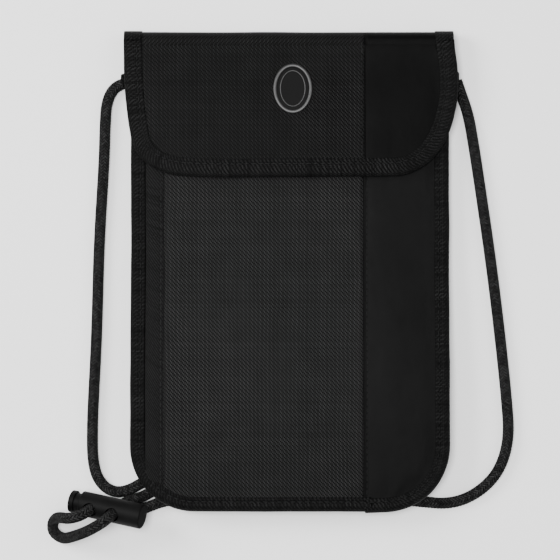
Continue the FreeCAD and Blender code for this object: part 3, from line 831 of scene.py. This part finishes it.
def smooth_high(x, y):
    sunk = 0.70 * np.exp(-np.maximum(x - SEAM_X, 0) / 5.0) + 0.55 * np.exp(-((x - SEAM_X) / 0.55) ** 2)
    pucker = 0.08 * np.sin(y / 2.3 + 0.9 * np.sin(y / 9.0)) * np.exp(-np.maximum(x - SEAM_X, 0) / 3.0)
    soft = 0.22 * np.sin(y / 21.0 + x / 13.0) * ease((x - 36) / 8) * ease((64 - x) / 6)
    return body_z(x, y, 8.68) - sunk + pucker + soft


left, right = body_rows(SEAM_X - 0.2, WHOLE, 98.2)
front_smooth = cloth_panel("front_smooth_cloth", left, right, 40, partial(body_z, z=7.72), smooth_high,
                           SMOOTH, "smooth_cloth", "pouch")
declare_sheet("front_smooth_panel", left, right)


# The tape round the pouch, in two lengths that lap near the seam at the foot.
EDGE_SECTION = [  # (distance inside the edge, level), from the back leg's inner edge round the outside
    (6.4, 0.0), (4.4, 0.12), (2.6, 0.02), (1.2, 0.25), (0.35, 0.95), (0.0, 2.3), (0.0, 4.6), (0.0, 6.9),
    (0.4, 8.35), (1.3, 9.1), (2.7, 9.32), (4.0, 9.12), (4.5, 9.02), (5.1, 9.14), (6.0, 9.24), (6.45, 9.02),
    (6.4, 8.72), (4.4, 8.62), (2.4, 8.68), (1.2, 8.2), (0.8, 6.8), (0.8, 2.4), (1.3, 0.95), (2.6, 0.52),
    (6.4, 0.5),
]
outline = body_outline()
outline = outline + inward(outline) * wander(path_lengths(outline), 1.0, 0.22, 17.0)[:, None]
on_foot = outline[:, 1] < BODY_FOOT + 1.0
lap_at = int(np.argmax(on_foot & (outline[:, 0] > SEAM_X - 0.4)))
tape = Shape()
sweep(tape, outline[:lap_at + 3], EDGE_SECTION, body_z)
later = outline[lap_at:]
run = path_lengths(later)
step_out = 0.62 * np.exp(-run / 16.0)
later = later - inward(later) * step_out[:, None]
edge_tape = Shape()
sweep(edge_tape, later, EDGE_SECTION, body_z, 40.0)
tape.make("edge_tape_left", TAPE, "binding_tape", "pouch", "body_binding")
edge_tape.make("edge_tape_right", TAPE, "binding_tape", "pouch", "binding_overlap")

edge_thread = Shape()
stitch_row(edge_thread, outline[:lap_at + 1] + inward(outline[:lap_at + 1]) * 4.45, body_z, 9.08, seed=2)
stitch_row(edge_thread, later[1:] + inward(later[1:]) * 4.9, body_z, 9.12, seed=3)
edge_thread.make("edge_stitches", THREAD, "binding_tape", "pouch")
# A negative radius arches the stitches downwards, out of the back.
back_thread = Shape()
stitch_row(back_thread, outline + inward(outline) * 4.45, body_z, 0.26, seed=4, radius=-0.2)
back_thread.make("edge_stitches_back", THREAD, "binding_tape", "pouch")


# The bound edge of the slip pocket, down the left of the front.
def slip_tape():
    shape = Shape()
    t = np.linspace(0, 1, 110)
    section = np.array([
        (-63.45, 8.55), (-63.5, 9.0), (-63.1, 9.42), (-62.2, 9.56), (-60.0, 9.6), (-57.9, 9.52),
        (-57.0, 9.36), (-56.5, 9.34), (-56.0, 9.44), (-55.6, 9.36), (-55.4, 9.05), (-55.5, 8.72),
        (-58.5, 8.72), (-62.3, 8.6),
    ])
    reach = BODY_CORNER - 2.2
    ends = BODY_FOOT + BODY_CORNER - np.sqrt(reach ** 2 - (section[:, 0] + BODY_HALF - BODY_CORNER) ** 2)
    y = ends[None] + (97.4 - ends[None]) * t[:, None]
    x = section[None, :, 0] + wander(y.mean(1), 5.0, 0.25, 26.0)[:, None]
    tuck = 0.62 * ease((9.0 - (y - ends[None])) / 8.0)
    z = body_z(x, y, np.broadcast_to(section[None, :, 1], x.shape)) - tuck
    shape.tube(np.stack([x, y, z], -1), crossed(y.mean(1), girth(section)))
    shape.make("slip_pocket_tape", SLIP_TAPE, "binding_tape", "pouch", "slip_pocket_binding")


slip_tape()
seams = Shape()
line = sewn_line((SLIP_SEAM_X, 90.5), (SLIP_SEAM_X, -93.0), 120, 6.0, 0.3, 26.0)
stitch_row(seams, line, body_z, 9.42, seed=6)
line = sewn_line((SEAM_X + 1.3, 97.5), (SEAM_X + 1.1, -98.5), 120, 7.0, 0.3, 30.0)
stitch_row(seams, line, lambda x, y, z: smooth_high(x, y) + 0.05, 0.0, seed=7, radius=0.2)
seams.make("front_stitches", THREAD, "twill_cloth", "pouch")


# The tape along the pocket's mouth, which the flap covers.
def mouth_tape():
    shape = Shape()
    x = np.linspace(-64.2, 64.2, 90)
    section = np.array([
        (91.2, 8.74), (91.0, 9.1), (91.6, 9.3), (92.6, 9.22), (93.4, 9.28), (96.6, 9.34), (98.3, 9.2),
        (99.0, 8.6), (99.1, 7.8), (98.9, 6.9), (98.2, 6.35), (96.6, 6.2), (91.4, 6.2), (91.2, 6.5),
        (91.2, 6.68), (98.2, 6.7), (98.4, 7.7), (98.3, 8.72),
    ])
    y = section[None, :, 0] + wander(x, 8.0, 0.25, 30.0)[:, None]
    z = body_z(np.broadcast_to(x[:, None], y.shape), y, np.broadcast_to(section[None, :, 1], y.shape))
    points = np.stack([np.broadcast_to(x[:, None], y.shape), y, z], -1)
    shape.tube(points, crossed(x, girth(section)))
    thread = Shape()
    stitch_row(thread, between((-63, 92.6), (63, 92.6), 80), body_z, 9.24, seed=8)
    thread.make("mouth_stitches", THREAD, "binding_tape", "pouch")
    shape.make("mouth_tape", TAPE, "binding_tape", "pouch", "mouth_binding")


mouth_tape()


# ---------------------------------------------------------------- the flap

rim = flap_outline(1.5, 1.4)
bend = int(np.argmax(rim[:, 0] > -40.0))
turn_back = len(rim) - 1 - int(np.argmax(rim[::-1, 0] < 40.0))
rows = 62
left_line = even_points(rim[:bend + 1], 0.1)
right_line = even_points(rim[turn_back:][::-1], 0.1)
left_line = left_line[np.linspace(0, len(left_line) - 1, rows).astype(int)]
right_line = right_line[np.linspace(0, len(right_line) - 1, rows).astype(int)]
share = ((FLAP_SEAM_X - left_line[:, 0]) / (right_line[:, 0] - left_line[:, 0]))[:, None]
seam_line = left_line + (right_line - left_line) * share


FOLD_LAP = 0.12      # how far the flap's cloth and the fold's last row sink where they lap


def under_fold(y):
    return FOLD_LAP * ease((y - 98.2) / 2.0)


def flap_twill_high(x, y):
    roll = 0.45 * ease(x - (FLAP_SEAM_X - 1.1)) ** 2
    pucker = 0.07 * np.sin(y / 1.8 + 0.8 * np.sin(y / 5.0)) * ease((x - 28.0) / 4.0)
    raised = 0.28 * ease((x - 24.0) / 7.0) - roll + pucker
    return flap_z(x, y, 11.0) + raised * ease((98.0 - y) / 6.0) - under_fold(y)


def flap_smooth_high(x, y):
    sunk = 0.35 * np.exp(-np.maximum(x - FLAP_SEAM_X, 0) / 2.5)
    return flap_z(x, y, 11.0) - sunk * ease((98.0 - y) / 6.0) - under_fold(y)


flap_twill = cloth_panel("flap_twill_cloth", left_line, seam_line - (0.05, 0), 72, partial(flap_z, z=10.42),
                         flap_twill_high, SHADED_FLAP_TWILL, "twill_cloth", "flap")
declare_sheet("flap_twill_panel", left_line, seam_line)
flap_smooth = cloth_panel("flap_smooth_cloth", seam_line - (0.02, 0), right_line, 34,
                          partial(flap_z, z=10.42), flap_smooth_high, SHADED_FLAP_SMOOTH, "smooth_cloth", "flap")
declare_sheet("flap_smooth_panel", seam_line, right_line)
flap_lining = cloth_panel("flap_lining_cloth", left_line, right_line, 72, partial(flap_z, z=10.0),
                          partial(flap_z, z=10.4), LINING, "lining_cloth", "flap")
declare_sheet("flap_lining", left_line, right_line)

FLAP_SECTION = [  # (distance inside the edge, level), from the under leg's inner edge round the outside
    (8.0, 9.62), (5.8, 9.66), (3.5, 9.5), (1.5, 9.5), (0.5, 9.7), (0.0, 10.2), (0.0, 10.8), (0.45, 11.35),
    (1.5, 11.62), (3.6, 11.72), (5.1, 11.58), (5.8, 11.46), (6.5, 11.56), (7.5, 11.58), (8.0, 11.38),
    (8.0, 11.04), (5.8, 11.0), (1.6, 11.0), (1.0, 10.6), (1.6, 10.0), (8.0, 9.98),
]
flap_edge = flap_outline()
flap_edge = flap_edge + inward(flap_edge) * wander(path_lengths(flap_edge), 9.0, 0.25, 19.0)[:, None]
flap_tape = Shape()
sweep(flap_tape, flap_edge, FLAP_SECTION, flap_z)
flap_tape.make("flap_tape", FLAP_TAPE, "binding_tape", "flap", "flap_binding")

flap_thread = Shape()
stitch_row(flap_thread, flap_edge[2:-2] + inward(flap_edge)[2:-2] * 5.8, flap_z, 11.52, seed=10)
line = sewn_line((FLAP_SEAM_X - 1.4, 101.0), (FLAP_SEAM_X - 1.4, 49.4), 60, 11.0, 0.2, 30.0)
stitch_row(flap_thread, line, lambda x, y, z: flap_twill_high(x, y) + 0.04, 0.0, seed=11, radius=0.2)
flap_thread.make("flap_stitches", THREAD, "binding_tape", "flap")


# The fold at the top, where the flap's cloth turns down to the back.
def fold_strip(name, x0, x1, columns, stand, thick, material, slot, node=None):
    phi = np.linspace(-math.pi / 2, math.pi / 2, 31)
    middle = 5.72
    def arc(offset):
        reach = 4.05 + offset
        y = FLAP_TOP - 0.3 + reach * np.cos(phi)
        z = middle + np.where(phi < 0, 5.60 + min(offset, 0.0), 5.28 + offset) * np.sin(phi)
        z = np.maximum(z, 0.06 - min(offset, 0.0))
        sink = FOLD_LAP if offset < 0.3 else 0.0
        return np.stack([np.concatenate([[FLAP_TOP - 2.5], y, [FLAP_TOP - 1.6, FLAP_TOP - 4.2]]),
                         np.concatenate([z[:1], z, z[-1:], z[-1:] - sink])], 1)
    outer, inner = arc(stand), arc(stand - thick)
    ring = np.concatenate([outer, inner[::-1]])
    x = np.linspace(x0, x1, columns)
    ripple = wander(x, 12.0, 0.16, 22.0)
    points = np.zeros((columns, len(ring), 3))
    points[..., 0] = x[:, None]
    points[..., 1] = ring[None, :, 0] + ripple[:, None] * ease((ring[:, 0] - FLAP_TOP) / 3)[None]
    points[..., 2] = ring[None, :, 1]
    shape = Shape()
    shape.tube(points, crossed(x, 90.0 + girth(ring)))
    obj = shape.make(name, material, slot, node=node)
    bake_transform(obj)


fold_strip("fold_twill_cloth", -71.6, 32.9, 60, 0.0, 0.55, SHADED_FLAP_TWILL, "twill_cloth", "top_fold")
fold_strip("fold_smooth_cloth", FLAP_SEAM_X, 70.6, 24, 0.0, 0.5, SHADED_FLAP_SMOOTH, "smooth_cloth")
fold_strip("fold_tape_left", -73.0, -65.1, 8, 0.42, 0.4, TAPE, "binding_tape")
fold_strip("fold_tape_right", 63.9, 71.9, 8, 0.42, 0.4, TAPE, "binding_tape")


# ---------------------------------------------------------------- badge: a plain oval

def oval(shape, middle, size, section, level, count=72):
    """Rings of an oval, each given as (distance inside its edge, level)."""
    turn = circle(count)
    rounds = []
    for inside, z in section:
        x = middle[0] + (size[0] - inside) * np.cos(turn)
        y = middle[1] + (size[1] - inside) * np.sin(turn)
        rounds.append(np.stack([x, y, level(x, y, x * 0 + z)], 1))
    points = np.stack(rounds)
    start = shape.rows(points, seen_from_above(points), wrap=True)
    return start, count, len(section)


low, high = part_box("flap_emblem")
badge_at = ((low.x + high.x) / 2 / MM, (low.y + high.y) / 2 / MM)
badge_size = ((high.x - low.x) / 2 / MM, (high.y - low.y) / 2 / MM)
badge_rim = Shape()
outer_ring = [(0.1, 10.9), (0.0, 11.45), (0.12, 11.72), (0.4, 11.88), (1.15, 11.90), (1.45, 11.76),
              (1.57, 11.3), (1.65, 10.95)]
oval(badge_rim, badge_at, badge_size, outer_ring, flap_z)
inner_ring = [(0.0, 11.3), (0.05, 11.62), (0.25, 11.70), (0.5, 11.62), (0.6, 11.3)]
oval(badge_rim, badge_at, (badge_size[0] - 2.9, badge_size[1] - 2.9), inner_ring, flap_z)
badge_rim.make("badge_rim", BADGE, "badge_metal", "flap", "flap_emblem")
badge_field = Shape()
dished = [(0.7, 10.9), (1.1, 11.35), (2.4, 11.38), (4.8, 11.42), (7.6, 11.44)]
start, count, deep = oval(badge_field, badge_at, badge_size, dished, flap_z)
badge_field.lid(range(start + (deep - 1) * count, start + deep * count), badge_at)
badge_field.make("badge_field", FIELD, "badge_metal", "flap")


# ---------------------------------------------------------------- touch fastener

def patch(name, node, low_level, high_level, level, tufts, body, seed):
    """A sewn patch with real tufts or hooks standing on it."""
    low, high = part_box(node)
    x0, x1, y0, y1 = low.x / MM, high.x / MM, low.y / MM, high.y / MM
    shape = Shape()
    rng = np.random.default_rng(seed)
    top = high_level > low_level
    u = np.linspace(x0, x1, 60)
    v = np.linspace(y0, y1, 26)
    gx, gy = np.meshgrid(u, v)
    edge = np.minimum(np.minimum(gx - x0, x1 - gx), np.minimum(gy - y0, y1 - gy))
    fall = np.sqrt(np.clip(edge, 0, 1))
    z = level(gx, gy, low_level + (high_level - low_level) * fall)
    rough = rng.normal(0, 0.05, gx.shape) * (edge > 0.8)
    points = np.stack([gx, gy, z + rough], -1)
    if not top:
        points = points[:, ::-1]
    shape.rows(points, points[..., :2])
    step, size, tall = tufts
    reach = 1 if top else -1
    for x in np.arange(x0 + 1.2, x1 - 1.1, step):
        for y in np.arange(y0 + 1.2, y1 - 1.1, step):
            px, py = x + rng.normal(0, step * 0.13), y + rng.normal(0, step * 0.13)
            lean = rng.normal(0, 0.16, 2)
            ring = []
            for share, width in ((0, 1.0), (0.6, 0.8), (1.0, 0.35)):
                turn = circle(5) * reach
                base = level(np.array([px]), np.array([py]), np.array([high_level]))[0]
                ring.append(np.stack([px + lean[0] * share + size * width * np.cos(turn),
                                      py + lean[1] * share + size * width * np.sin(turn),
                                      np.full(5, base + reach * tall * (share - 0.1))], 1))
            ring = np.stack(ring)
            start = shape.rows(ring, seen_from_above(ring), wrap=True)
            shape.lid(range(start + 10, start + 15), (px, py))
    shape.make(name, FASTENER, "touch_fastener", body, node)


patch("loop_patch_pile", "loop_patch", 8.75, 9.1, body_z, (0.95, 0.30, 0.16), "pouch", 21)
patch("hook_patch_hooks", "flap_hook_patch", 10.0, 9.78, flap_z, (1.25, 0.16, 0.22), "flap", 22)
patch_thread = Shape()
low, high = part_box("loop_patch")
x0, x1, y0, y1 = low.x / MM + 0.9, high.x / MM - 0.9, low.y / MM + 0.9, high.y / MM - 0.9
for a, b in (((x0, y0), (x1, y0)), ((x1, y0), (x1, y1)), ((x1, y1), (x0, y1)), ((x0, y1), (x0, y0))):
    stitch_row(patch_thread, between(a, b, 12), body_z, 9.12, seed=23)
patch_thread.make("loop_patch_stitches", THREAD, "touch_fastener", "pouch")


# ---------------------------------------------------------------- the neck cord

CORD_DIAMETER = 5.0
CORD_ROUTE = [  # down the left side and round the corner
    (-73.4, 82.8, 2.6), (-77.4, 81.8, 2.6), (-81.1, 75.0, 2.6), (-81.8, 65.0, 2.6), (-82.2, 48.0, 2.6),
    (-84.5, 12.0, 2.6), (-85.5, -30.0, 2.6), (-87.6, -68.0, 2.6), (-87.2, -87.4, 2.6), (-82.0, -96.4, 2.6),
    (-73.6, -98.4, 2.6), (-62.0, -91.8, 2.6),
    # folded away under the pouch
    (-45.0, -81.0, 2.6), (-22.0, -73.5, 2.6), (10.0, -71.8, 2.6), (36.0, -67.2, 2.6), (48.0, -71.6, 2.6),
    (50.4, -82.4, 2.6), (41.0, -89.6, 2.6), (18.0, -88.6, 2.6), (-16.0, -84.8, 2.6), (-42.0, -89.0, 2.6),
    (-56.0, -94.2, 2.6), (-65.0, -100.0, 2.6),
    # up through the lock's far hole, round its loop and down through the near hole
    (-72.9, -101.65, 4.7), (-79.26, -107.9, 22.2), (-84.2, -111.1, 23.6), (-89.6, -114.2, 18.6),
    (-95.2, -116.7, 10.4), (-100.0, -118.3, 5.4), (-104.9, -115.1, 3.6), (-104.4, -109.6, 5.8),
    (-101.0, -108.0, 12.4), (-96.0, -108.2, 19.4), (-89.16, -106.0, 19.28), (-83.1, -100.0, 2.6),
    (-74.0, -107.2, 2.6), (-65.6, -105.4, 2.6), (-54.0, -100.8, 2.6),
    # under the lower edge to the right corner and up the right side
    (-30.0, -99.0, 2.6), (6.0, -101.4, 2.6), (40.0, -99.8, 2.6), (58.0, -102.0, 2.6), (71.5, -103.0, 2.6),
    (83.4, -98.0, 2.6), (92.6, -88.5, 2.6), (96.9, -74.0, 2.6), (95.6, -56.0, 2.6), (92.9, -30.0, 2.6),
    (88.9, 3.0, 2.6), (83.8, 38.0, 2.6), (80.8, 57.6, 2.6), (78.6, 69.6, 2.6), (75.4, 78.6, 2.6),
    (73.6, 84.0, 2.6),
]


def cord_line():
    curve = bpy.data.curves.new("cord_line", "CURVE")
    curve.dimensions = "3D"
    spline = curve.splines.new("NURBS")
    spline.points.add(len(CORD_ROUTE) - 1)
    for point, place in zip(spline.points, CORD_ROUTE):
        point.co = (*(Vector(place) * MM), 1)
    spline.order_u = 3
    spline.use_endpoint_u = True
    spline.resolution_u = 24
    obj = bpy.data.objects.new("cord_line", curve)
    scene.collection.objects.link(obj)
    mesh = bpy.data.meshes.new_from_object(obj)
    points = np.array([vertex.co for vertex in mesh.vertices]) / MM
    bpy.data.objects.remove(obj)
    bpy.data.meshes.remove(mesh)
    keep = np.concatenate([[True], np.linalg.norm(np.diff(points, axis=0), axis=1) > 1e-6])
    return points[keep]


def braid(line, step, columns):
    """A two-over-two braid: the radius rises over each yarn and falls between them."""
    middle = even_points(line, step)
    along = unit(np.gradient(middle, axis=0))
    across = np.zeros_like(along)
    side = unit(np.cross(along[0], (0, 0, 1.0)))
    for k in range(len(along)):
        side = unit(side - along[k] * np.dot(side, along[k]))
        across[k] = side
    third = np.cross(along, across)
    turn = circle(columns)
    lengths = path_lengths(middle)
    s = lengths[:, None]
    a = CORD_YARNS * turn[None] / (2 * math.pi) + s / CORD_CELL
    b = CORD_YARNS * turn[None] / (2 * math.pi) - s / CORD_CELL
    number = np.floor(a) + np.floor(b)
    top = np.mod(number, 4) < 1.5
    over, run = np.where(top, a, b), np.where(top, b, a)
    other = np.where(top, np.floor(a), np.floor(b))
    float_at = np.mod(run + other, 4) / 2
    hump = 0.45 + 0.55 * np.sin(math.pi * np.clip(float_at, 0, 1))
    rise = np.sqrt(np.sin(math.pi * (over - np.floor(over)))) * hump
    radius = CORD_DIAMETER / 2 * 0.90 + 0.34 * rise
    points = rings(middle, across, third, radius[..., None], turn)
    shape = Shape()
    shape.tube(points, crossed(lengths, np.append(turn, 2 * math.pi)))
    return shape


# The spring behind the plunger.
def spring():
    wire, turns, travel = 0.4, 4, 2.5
    places = np.array([vertex.co for vertex in frame["nodes"]["lock_spring"].data.vertices]) / MM
    axis = np.array(BARREL_AXIS)
    depth = places @ axis
    near, far = depth.min() + wire, depth.max() - wire
    flat = places - depth[:, None] * axis
    middle = (flat.max(0) + flat.min(0)) / 2
    reach = np.linalg.norm(flat - middle, axis=1).max() - wire
    side = unit(np.cross(axis, (0, 0, 1.0)))
    up = np.cross(axis, side)
    t = np.linspace(0, 1, 241)
    turn = 2 * math.pi * turns * t
    out = side * np.cos(turn)[:, None] + up * np.sin(turn)[:, None]
    centre = middle + axis * (near + (far - near) * t)[:, None] + out * reach
    along = unit(np.gradient(centre, axis=0))
    third = np.cross(along, out)
    around = circle(12)
    points = rings(centre, out, third, wire, around)
    shape = Shape()
    shape.tube(points, crossed(t * 75, np.append(around, 2 * math.pi)))
    obj = shape.make("lock_spring_coil", STEEL, "spring_steel", "cord_lock", "lock_spring")
    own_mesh(obj)
    return obj


coil = spring()
line = cord_line()
cord = braid(line, 0.38, 40).make("neck_cord_braid", CORD, "braided_cord", "pouch", "neck_cord")
float(path_lengths(line)[-1] * MM)
(even_points(line, 1.0) * MM).tolist()


def level_ground(x, y, level):
    """A level that follows nothing, for what lies beside the pouch."""
    return level + 0 * x


# The sewn tabs that hold the cord's two ends to the pouch's sides.
def cord_tab(name, node, side):
    low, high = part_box(node)
    y0, y1 = low.y / MM - 0.5, high.y / MM + 0.5
    inner, outer = 68.6 * side, 74.6 * side
    shape = Shape()
    turn = circle(24)
    rows_at = np.linspace(0, 1, 14)
    points = np.zeros((len(rows_at), len(turn), 3))
    for k, t in enumerate(rows_at):
        x = inner + (outer - inner) * t
        wide = (y1 - y0) / 2 * (1 - 0.10 * t ** 3)
        tall = 1.1 + 2.05 * ease(t * 1.6)
        fat = 1.0 if t < 0.93 else 0.90
        c, s = np.cos(turn), np.sin(turn)
        points[k, :, 0] = x
        points[k, :, 1] = (y0 + y1) / 2 + wide * fat * np.sign(c) * np.abs(c) ** 0.55
        points[k, :, 2] = 2.85 + tall * fat * np.sign(s) * np.abs(s) ** 0.75
    points[..., 2] = np.maximum(points[..., 2], 0.05)
    shape.tube(points, crossed(rows_at * 6, np.append(turn, 2 * math.pi) * 4))
    shape.make(name, TAPE, "binding_tape", "pouch", node)
    thread = Shape()
    for x in (71.3, 72.4):
        stitch_row(thread, between((x * side, y0 + 0.8), (x * side, y1 - 0.8), 6), level_ground, 5.75,
                   pitch=1.6, gap=0.3, seed=30 + x)
    thread.make(name + "_stitches", THREAD, "binding_tape", "pouch")


cord_tab("cord_tab_left", "cord_anchor_left", -1)
cord_tab("cord_tab_right", "cord_anchor_right", 1)


# ---------------------------------------------------------------- the hard parts keep their CAD shape

for node, material in (("lock_barrel", PLASTIC), ("lock_plunger", PLASTIC), ("emblem_backing", STEEL)):
    obj = frame["nodes"][node]
    obj.data.materials.clear()
    obj.data.materials.append(material)

# ---------------------------------------------------------------- floor

floor_mesh = bpy.data.meshes.new("floor")
corners = [(x, y, -0.00002) for x, y in ((-4, -4), (4, -4), (4, 4), (-4, 4))]
floor_mesh.from_pydata(corners, [], [(0, 1, 2, 3)])
floor = bpy.data.objects.new("floor", floor_mesh)
floor_mesh.materials.append(floor_material())
scene.collection.objects.link(floor)
